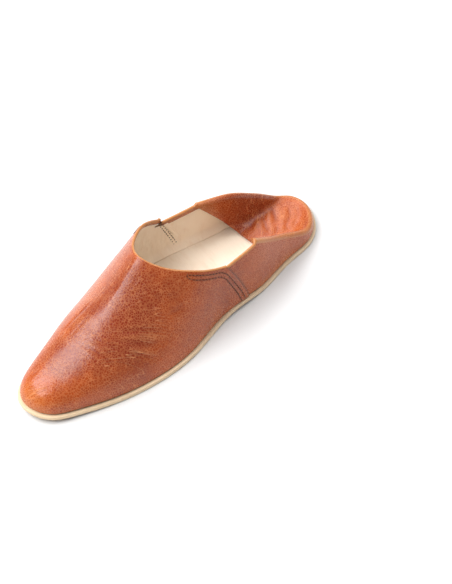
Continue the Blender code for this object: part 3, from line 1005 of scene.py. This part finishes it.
class BABOUCHE_OT_vamp(bpy.types.Operator):
    """Makes the closed front of the upper, turned in round the throat"""

    bl_idname = "babouche.vamp"
    bl_label = "Vamp"

    def execute(self, context):
        size = sizes()
        shares = np.linspace(1.0, -1.0, 2 * VAMP_COLUMNS + 1)
        dense = vamp_dome(shares, 200, SEAM_STEP)
        along = steps(WALL_ROWS)
        wall = resample(dense, (curve_lengths(dense) - TURN_RADIUS)[:, None] * along ** 0.94)
        foot = rounded_foot(wall, inward(shares * station_angle(SEAM_FOOT)))
        normals = -sheet_normals(wall)
        depth = trough_field(VAMP_TROUGHS, wall) * size.crease
        depth = depth * ease(along / 0.08) * ease((1.0 - along) / 0.03)
        wall = wall - normals * depth[..., None]

        number = np.arange(len(wall))
        ends = ease(np.minimum(number, number[::-1]) / 12.0)
        widths = size.turned_in * blend(0.3, 1.0, ends)
        roll, roll_ways = rolled_edge(wall, normals)
        band, band_ways = pasted_band(wall, normals, widths, BAND_ROWS)
        skin = np.concatenate([foot, wall, roll, band], axis=1)
        foot_ways = np.repeat(normals[:, :1], FOOT_ROWS, axis=1)
        ways = np.concatenate([foot_ways, normals, roll_ways, -band_ways], axis=1)
        back = skin - ways * min(size.leather, TURN_RADIUS - PASTE_GAP)
        close_foot(back, foot)

        start = FOOT_ROWS + WALL_ROWS
        trough, rim, shade = np.zeros((3, *skin.shape[:2]))
        trough[:, FOOT_ROWS:start] = depth / FULL_TROUGH
        # Painted highlight over the rolled top line, fainter on the band pasted inside
        rim[:, start:start + ROLL_ROWS] = 1.0
        rim[:, start + ROLL_ROWS:] = 0.4
        gaping = spots(skin[:, :1], (1.0, 24, -95, 20, 26))
        shade[:, :FOOT_ROWS] = 0.55 + 0.45 * gaping
        shade[:, FOOT_ROWS:FOOT_ROWS + 2] = gaping * np.array([0.45, 0.15])
        shade[[0, -1]] = np.maximum(shade[[0, -1]], 0.35)
        for route, part in zip(seam_routes(), (slice(0, 110), slice(-110, None))):
            gaps = np.linalg.norm(skin[part][:, :, None] - route[::2], axis=-1).min(axis=2)
            shade[part] = np.maximum(shade[part], 0.32 * np.exp(-(gaps / 0.0010) ** 2))
        worn = spots(skin, (1.0, 27, -58, 13, 22), (0.6, 18, -80, 14, 8), (0.6, 4, -122, 14, 9))
        pulled = spots(skin, (0.8, -13, -74, 10, 30), (0.5, -4, -36, 16, 8))
        # The tone mark carries painted light and shade
        piece = slab("vamp", skin, back, cognac_leather(), {
            "trough": trough, "tone": vamp_painted_light_and_shade(skin), "rim": rim, "shade": shade,
            "worn": np.minimum(worn, 1.0), "pulled": np.minimum(pulled, 1.0), "trodden": 0.0,
        })
        finished(piece, "upper_leather", "upper")
        return {"FINISHED"}


class BABOUCHE_OT_quarter(bpy.types.Operator):
    """Makes the sides and the back, which is folded in and trodden down"""

    bl_idname = "babouche.quarter"
    bl_label = "Quarter"

    def execute(self, context):
        size = sizes()
        tuck = np.linspace(-0.16, 0.0, TUCK_COLUMNS + 1)[:-1]
        shares = np.concatenate([tuck, np.linspace(0.0, 1.0, QUARTER_COLUMNS)[:-1]])
        outer, inner = (quarter_wall(shares, side, WALL_ROWS) for side in (1, -1))
        lines = FoldLines()
        wall = np.concatenate([outer, lines.wall(WALL_ROWS), inner[::-1]])
        side_angles = station_angle(blend(SEAM_FOOT, FOLD_CORNER_FOOT, shares))
        angles = [side_angles, lines.foot, 2.0 * math.pi - side_angles[::-1]]
        count = len(shares)
        fold = slice(count, len(wall) - count)
        sides = ((slice(0, count), 1), (slice(len(wall) - count, len(wall)), -1))
        for part, _ in sides:
            lengths = (curve_lengths(wall[part]) - TURN_RADIUS)[:, None] * steps(WALL_ROWS)
            wall[part] = resample(wall[part], lengths)
        normals = sheet_normals(wall)
        foot = rounded_foot(wall, inward(np.concatenate(angles)))

        start = FOOT_ROWS + WALL_ROWS
        turned = start + ROLL_ROWS
        skin = np.zeros((len(wall), turned + FLAP_ROWS, 3))
        skin[:, :FOOT_ROWS] = foot
        skin[:, FOOT_ROWS:start] = wall
        skin[fold, start:turned] = lines.roll(ROLL_ROWS + 1)[:, 1:]
        skin[fold, turned:] = lines.flap(FLAP_ROWS + 1)[:, 1:]
        widths = size.turned_in * blend(0.2, 1.0, ease((shares + 0.16) / 0.28))
        for part, order in sides:
            skin[part, start:turned] = rolled_edge(wall[part], normals[part])[0]
            band, _ = pasted_band(wall[part], normals[part], widths[::order], FLAP_ROWS)
            skin[part, turned:] = band
        ways = unit(soften(sheet_normals(skin), 6))
        number = np.arange(len(skin))
        from_end = np.minimum(number, number[::-1])
        over_fold = ease((np.arange(skin.shape[1]) - start) / ROLL_ROWS)
        in_fold = ease((from_end - count) / 8.0)[:, None]
        thick = blend(TURN_RADIUS - PASTE_GAP, UPPER_WALL - PASTE_GAP, in_fold * over_fold)
        back = skin - ways * thick[..., None]
        close_foot(back, foot)

        # Painted light and shade, carried by the tone mark
        tone = quarter_painted_light_and_shade(skin)
        rim, shade = np.zeros((2, *skin.shape[:2]))
        beside = 1.0 - ease((from_end - count) / 10.0)[:, None]
        # Painted highlight along the top line, fainter over the fold's crest and on the band pasted
        # inside
        rim[:, start - 2:turned] = blend(0.55, 1.0, beside)
        rim[:, turned:] = 0.4 * beside
        shade[:, :FOOT_ROWS] = 0.6
        shade[:, FOOT_ROWS:] = 0.9 * (1.0 - ease((from_end - TUCK_COLUMNS) / 3.0))[:, None]
        depth = trough_field(FLAP_TROUGHS, skin) * size.crease
        depth[:, :start + 3] = 0.0
        skin, back = (sheet - ways * depth[..., None] for sheet in (skin, back))
        x, y, z = in_mm(skin)
        trodden = ease((30.0 - np.hypot(x - 2, y - 98)) / 12) * ease((34.0 - z) / 10)
        piece = slab("quarter", skin, back, bpy.data.materials["cognac_leather"], {
            "trough": depth / FULL_TROUGH, "tone": tone, "rim": rim, "shade": shade,
            "worn": 0.0, "pulled": 0.15, "trodden": trodden,
        })
        finished(piece, "upper_leather", "upper")
        return {"FINISHED"}


# Stitching

def stitch_tree():
    """Stitches along an edge path: awl holes at each pitch, and sunk thread between them."""
    tree = bpy.data.node_groups.new("stitch_run", "GeometryNodeTree")
    for name, way, kind, value in (
        ("Path", "INPUT", "Geometry", None), ("Pitch", "INPUT", "Float", 0.0026),
        ("Thread", "INPUT", "Float", 0.0006), ("Hole", "INPUT", "Float", 0.0004),
        ("Seed", "INPUT", "Int", 7), ("Stitches", "OUTPUT", "Geometry", None),
    ):
        socket = tree.interface.new_socket(name, in_out=way, socket_type="NodeSocket" + kind)
        if value is not None:
            socket.default_value = value

    def node(kind, settings=None, sockets=None):
        return add_node(tree, kind, settings, sockets)[0]

    def product(first, second):
        return node("ShaderNodeMath", {"operation": "MULTIPLY"}, {0: first, 1: second})

    start = add_node(tree, "NodeGroupInput")
    curve = node("GeometryNodeMeshToCurve", {}, {0: start["Path"]})
    settings = {"mode": "LENGTH"}
    points = node("GeometryNodeResampleCurve", settings, {"Curve": curve, "Length": start["Pitch"]})
    ball = node("GeometryNodeMeshIcoSphere", {}, {"Radius": start["Hole"], "Subdivisions": 2})
    holes = node("GeometryNodeInstanceOnPoints", {}, {"Points": points, "Instance": ball})
    strand = node("GeometryNodeMeshUVSphere", {}, {"Segments": 8, "Rings": 6, "Radius": 0.5})
    scale = node("ShaderNodeCombineXYZ", {}, {
        0: product(start["Pitch"], 0.66), 1: start["Thread"], 2: product(start["Thread"], 0.5),
    })
    shift = node("ShaderNodeCombineXYZ", {}, {0: product(start["Pitch"], 0.5)})
    strand = node("GeometryNodeTransform", {}, {
        "Geometry": strand, "Translation": shift, "Scale": scale,
    })
    tangent = node("GeometryNodeInputTangent")
    aligned = node("FunctionNodeAlignRotationToVector", {"axis": "X"}, {"Vector": tangent})
    wobble = node("FunctionNodeRandomValue", {"data_type": "FLOAT_VECTOR"}, {
        "Min": (-0.12, -0.12, -0.12), "Max": (0.12, 0.12, 0.12), "Seed": start["Seed"],
    })
    settings = {"rotation_space": "LOCAL"}
    turned = node("FunctionNodeRotateRotation", settings, {0: aligned, 1: wobble})
    last = node("GeometryNodeCurveEndpointSelection", {}, {"Start Size": 0, "End Size": 1})
    threads = node("GeometryNodeInstanceOnPoints", {}, {
        "Points": points, "Instance": strand, "Rotation": turned,
        "Selection": node("FunctionNodeBooleanMath", {"operation": "NOT"}, {0: last}),
    })
    joined = tree.nodes.new("GeometryNodeJoinGeometry")
    for instances, material in ((holes, hole_finish()), (threads, thread_finish())):
        real = node("GeometryNodeRealizeInstances", {}, {0: instances})
        real = node("GeometryNodeSetMaterial", {}, {"Geometry": real, "Material": material})
        tree.links.new(real, joined.inputs[0])
    smooth = node("GeometryNodeSetShadeSmooth", {}, {"Geometry": joined.outputs[0]})
    add_node(tree, "NodeGroupOutput", {}, {0: smooth})
    return tree


def stitch_run(name, paths, tree, pitch_scale, hole):
    """A plain mesh of the stitches along several paths."""
    size = sizes()
    points, edges = [], []
    for path in paths:
        edges.extend((n, n + 1) for n in range(len(points), len(points) + len(path) - 1))
        points.extend(tuple(p) for p in path)
    data = bpy.data.meshes.new(name)
    data.from_pydata(points, edges, [])
    holder = linked(name + "_path", data)
    run = holder.modifiers.new("stitches", "NODES")
    run.node_group = tree
    wanted = {
        "Pitch": size.stitch_pitch * pitch_scale, "Thread": size.thread, "Hole": hole,
        "Seed": size.seed,
    }
    for item in tree.interface.items_tree:
        if item.in_out == "INPUT" and item.name in wanted:
            run[item.identifier] = wanted[item.name]
    depsgraph = bpy.context.evaluated_depsgraph_get()
    plain_mesh = bpy.data.meshes.new_from_object(holder.evaluated_get(depsgraph))
    plain_mesh.name = name
    bpy.data.objects.remove(holder, do_unlink=True)
    return linked(name, plain_mesh)


def across_and_down(sheet, below, aside):
    """A point on a sheet of columns, a way below its top edge and a way from its last column."""
    level = resample(sheet, (curve_lengths(sheet) - below)[:, None])[::-1, 0]
    return resample(level[None], np.array([[aside]]))[0, 0]


def seam_path(row, start, foot):
    """A row of stitches along the throat and then down beside the seam, in the vamp's wing."""
    route = [(row, aside) for aside in np.linspace(start, row + SEAM_CORNER, 40)]
    for turn in np.linspace(0.0, 0.5 * math.pi, 10)[1:-1]:
        below, aside = 1.0 - math.cos(turn), 1.0 - math.sin(turn)
        route.append((row + SEAM_CORNER * below, row + SEAM_CORNER * aside))
    return route + [(below, row) for below in np.linspace(row + SEAM_CORNER, foot, 40)]


def seam_routes():
    """Where the two rows of stitches run on each wing, outer side first."""
    routes = []
    for side in (1, -1):
        wing = vamp_dome(side * np.linspace(0.45, 1.0, 120), 160, SEAM_STEP)
        foot = curve_lengths(wing[-1:])[0] - SEAM_END
        near, far = (seam_path(row, at, foot) for row, at in zip(SEAM_ROWS, SEAM_STARTS))
        turn = [
            (blend(*SEAM_ROWS, share), SEAM_STARTS[0] + 0.0012 * math.sin(math.pi * share))
            for share in (0.75, 0.5, 0.25)
        ]
        route = far[::-1] + turn + near
        routes.append(np.array([across_and_down(wing, *place) for place in route]))
    return routes


class BABOUCHE_OT_stitching(bpy.types.Operator):
    """Sews the vamp's wings to the quarter, and the linings inside"""

    bl_idname = "babouche.stitching"
    bl_label = "Stitching"

    def execute(self, context):
        size = sizes()
        outside, inside = [], []
        for side, route in zip((1, -1), seam_routes()):
            outside.append(route + unit(np.array([side, -0.25, 0.45])) * THREAD_LIFT)
            lining = vamp_dome(side * np.linspace(0.6, 1.0, 90), 160, 0.0)
            lining = lining - side * sheet_normals(lining) * (size.leather + 2.0 * size.lining)
            foot = curve_lengths(lining[-1:])[0] - LINING_SEAM_END
            depths = np.linspace(LINING_SEAM_START, foot, 50)
            for row in LINING_SEAM_ROWS:
                inside.append([across_and_down(lining, below, row) for below in depths])
        tree = stitch_tree()
        seam = stitch_run("seam_stitches", outside, tree, 1.0, HOLE_RADIUS)
        finished(seam, "upper_leather")
        lined = stitch_run("lining_stitches", inside, tree, 1.15, LINING_HOLE_RADIUS)
        finished(lined, "lining_leather")
        return {"FINISHED"}


# Soles and linings

def sole_piece(name, inset, top, thickness, bulge, material, marks_for):
    """A cut sole with a gently rounded edge: rings from the middle of the top to the bottom's."""
    angles = np.linspace(0.0, 2.0 * math.pi, SOLE_POINTS, endpoint=False)
    radius = min(SOLE_EDGE_ROUNDING, 0.3 * thickness)
    above = [(back, 0.0) for back in (0.012, 0.006, 0.002)]
    for angle in np.linspace(0.0, 0.5 * math.pi, 4):
        above.append((radius * (1.0 - math.sin(angle)), radius * (1.0 - math.cos(angle))))
    under = [(back, thickness - down) for back, down in above[::-1]]
    rings = above + [(-bulge, 0.5 * thickness)] + under
    points = []
    for back, down in rings:
        plan = outline_point(angles, inset(angles) + back)
        points.append(raised(plan, top(plan[:, 1]) - down))
    number = np.arange(len(rings) * SOLE_POINTS).reshape(len(rings), SOLE_POINTS)
    after = np.roll(number, -1, axis=1)
    quads = np.stack([number[:-1], number[1:], after[1:], after[:-1]], axis=-1)
    faces = quads.reshape(-1, 4).tolist()
    half = SOLE_POINTS // 2
    total = number.size
    share = (np.arange(1, SOLE_STRIPS) / SOLE_STRIPS)[:, None]
    for ring, order in ((0, 1), (len(rings) - 1, -1)):
        near, far = points[ring][1:half, None], points[ring][:half:-1, None]
        middle = blend(near, far, share)
        middle[..., 2] = top(middle[..., 1]) - rings[ring][1]
        points.append(middle.reshape(-1, 3))
        fill = np.arange(total, total + len(points[-1])).reshape(middle.shape[:2])
        total += fill.size
        line = number[ring]
        net = np.concatenate([line[1:half, None], fill, line[:half:-1, None]], axis=1)
        quads = np.stack([net[:-1, :-1], net[1:, :-1], net[1:, 1:], net[:-1, 1:]], axis=-1)
        faces.extend(quads.reshape(-1, 4)[:, ::order].tolist())
        for tip, row, turn_back in ((line[0], net[0], 1), (line[half], net[-1], -1)):
            for pair in zip(row[:-1], row[1:]):
                faces.append((tip, *pair)[::order * turn_back])
    points = np.concatenate(points)
    return mesh_object(name, points, faces, material, marks_for(points))


class BABOUCHE_OT_soles(bpy.types.Operator):
    """Makes the outsole and the insole"""

    bl_idname = "babouche.soles"
    bl_label = "Soles"

    def execute(self, context):
        def under(points):
            below = points[:, 2] < ground_lift(points[:, 1]) + 0.0004
            return {"under": below.astype(float)}

        # The insole's even darker tint, and painted shade towards the toe, under the vamp
        def grime(points):
            return {"grime": 0.10 + 0.3 * ease((-points[:, 1] - 0.045) / 0.06)}

        def inset(angle):
            return feather_margin(angle) + UPPER_WALL + SEAT_GAP

        leather = sole_leather()
        outsole = sole_piece(
            "outsole_leather", np.zeros_like, sole_top, SOLE_THICKNESS, SOLE_BULGE, leather, under
        )
        finished(outsole, "sole_leather", "outsole")
        leather = lining_leather("insole_leather", math.radians(8))
        insole = sole_piece(
            "insole_leather", inset, insole_top, INSOLE_THICKNESS, 0.0, leather, grime
        )
        finished(insole, "lining_leather", "insole")
        return {"FINISHED"}


class BABOUCHE_OT_linings(bpy.types.Operator):
    """Makes the linings of the vamp and the quarter"""

    bl_idname = "babouche.linings"
    bl_label = "Linings"

    def execute(self, context):
        size = sizes()
        material = lining_leather("lining_leather", 0.0)
        depth = size.leather + PASTE_GAP
        fold = FoldLines().wall(120)
        shares = np.linspace(-0.3, 1.0, 40)[:-1]
        for name, side in (("quarter_lining_outer", 1), ("quarter_lining_inner", -1)):
            wall = [quarter_wall(shares, side, 120), fold[::side][:LINED_FOLD_COLUMNS]]
            self.hang(name, np.concatenate(wall), depth, material, side)
        dome = vamp_dome(np.linspace(1.0, -1.0, 2 * VAMP_COLUMNS + 1), 160, 0.0)
        tab_shares = np.linspace(0.0, 0.16, 6)[1:]
        outer, inner = (quarter_wall(tab_shares, side, 160) for side in (1, -1))
        wall = np.concatenate([outer[::-1], dome, inner])
        self.hang("vamp_lining", wall, depth + size.lining, material, -1)
        return {"FINISHED"}

    def hang(self, name, dense, depth, material, sign):
        """A lining behind a wall, from just under the top line to the insole."""
        size = sizes()
        top = (curve_lengths(dense) - size.turned_in + LINING_BELOW_BAND)[:, None]
        wall = resample(dense, blend(LINING_FOOT, top, steps(LINING_ROWS)))
        normals = sign * sheet_normals(wall)
        over = np.clip((wall[..., 2] - insole_top(wall[..., 1])) / LINING_FLARE_HEIGHT, 0.0, 1.0)
        flare = unit(normals * np.array([1.0, 1.0, 0.2]))
        flare = flare * (LINING_FLARE * (1.0 - over) ** 2.2)[..., None]
        face = wall - normals * (depth + size.lining) - flare
        back = wall - normals * depth - flare * 0.9
        # Painted shade deep towards the toe
        grime = 0.5 * ease((-wall[..., 1] - 0.03) / 0.05)
        finished(slab(name, back, face, material, {"grime": grime}), "lining_leather")


class BABOUCHE_OT_stage(bpy.types.Operator):
    """Makes the floor, the studio light and the camera"""

    bl_idname = "babouche.stage"
    bl_label = "Stage"

    def execute(self, context):
        scene = context.scene
        sheet = bpy.data.meshes.new("floor")
        near, far = -FLOOR_REACH, FLOOR_REACH
        corners = [(near, near, 0.0), (far, near, 0.0), (far, far, 0.0), (near, far, 0.0)]
        sheet.from_pydata(corners, [], [(0, 1, 2, 3)])
        sheet.materials.append(floor_finish())
        floor = linked("floor", sheet)
        world = bpy.data.worlds.new("studio")
        world.use_nodes = True
        background = world.node_tree.nodes["Background"]
        background.inputs["Color"].default_value = (1.0, 1.0, 1.0, 1.0)
        background.inputs["Strength"].default_value = WORLD_STRENGTH
        scene.world = world
        scene.view_settings.view_transform = "Standard"
        for light in LIGHTS:
            self.light(*light)
        camera = bpy.data.cameras.new("camera")
        camera.sensor_width = 36.0
        camera.lens = CAMERA_LENS
        camera.clip_start = 0.01
        view = linked("camera", camera)
        view.location = CAMERA_PLACE
        view.rotation_euler = [math.radians(angle) for angle in CAMERA_TURN]
        scene.camera = view
        return {"FINISHED"}

    def light(self, name, place, size, energy):
        lamp = bpy.data.lights.new(name, "AREA")
        lamp.shape = "RECTANGLE"
        lamp.size, lamp.size_y = size
        lamp.energy = energy
        holder = linked(name, lamp)
        holder.location = place
        holder.visible_camera = False
        holder.rotation_euler = (-holder.location).to_track_quat("-Z", "Y").to_euler()


class BABOUCHE_PT_panel(bpy.types.Panel):
    bl_idname = "BABOUCHE_PT_panel"
    bl_label = "Babouche slipper"
    bl_space_type = "VIEW_3D"
    bl_region_type = "UI"
    bl_category = "Babouche"

    def draw(self, context):
        layout = self.layout
        for group in (sizes(), colours()):
            box = layout.box()
            for name in group.__annotations__:
                box.prop(group, name)
        for operator in OPERATORS:
            layout.operator(operator.bl_idname)


OPERATORS = (
    BABOUCHE_OT_soles,
    BABOUCHE_OT_vamp,
    BABOUCHE_OT_quarter,
    BABOUCHE_OT_linings,
    BABOUCHE_OT_stitching,
    BABOUCHE_OT_stage,
)
GROUPS = (BABOUCHE_PG_sizes, BABOUCHE_PG_colours)


def register():
    for group in GROUPS:
        bpy.utils.register_class(group)
    bpy.types.Scene.babouche_sizes = PointerProperty(type=BABOUCHE_PG_sizes)
    bpy.types.Scene.babouche_colours = PointerProperty(type=BABOUCHE_PG_colours)
    for kind in OPERATORS + (BABOUCHE_PT_panel,):
        bpy.utils.register_class(kind)


def unregister():
    for kind in reversed(OPERATORS + (BABOUCHE_PT_panel,)):
        bpy.utils.unregister_class(kind)
    del bpy.types.Scene.babouche_colours
    del bpy.types.Scene.babouche_sizes
    for group in reversed(GROUPS):
        bpy.utils.unregister_class(group)


def main():
    register()
    bpy.ops.babouche.soles()
    bpy.ops.babouche.vamp()
    bpy.ops.babouche.quarter()
    bpy.ops.babouche.linings()
    bpy.ops.babouche.stitching()
    bpy.ops.babouche.stage()


if __name__ == "__main__":
    main()
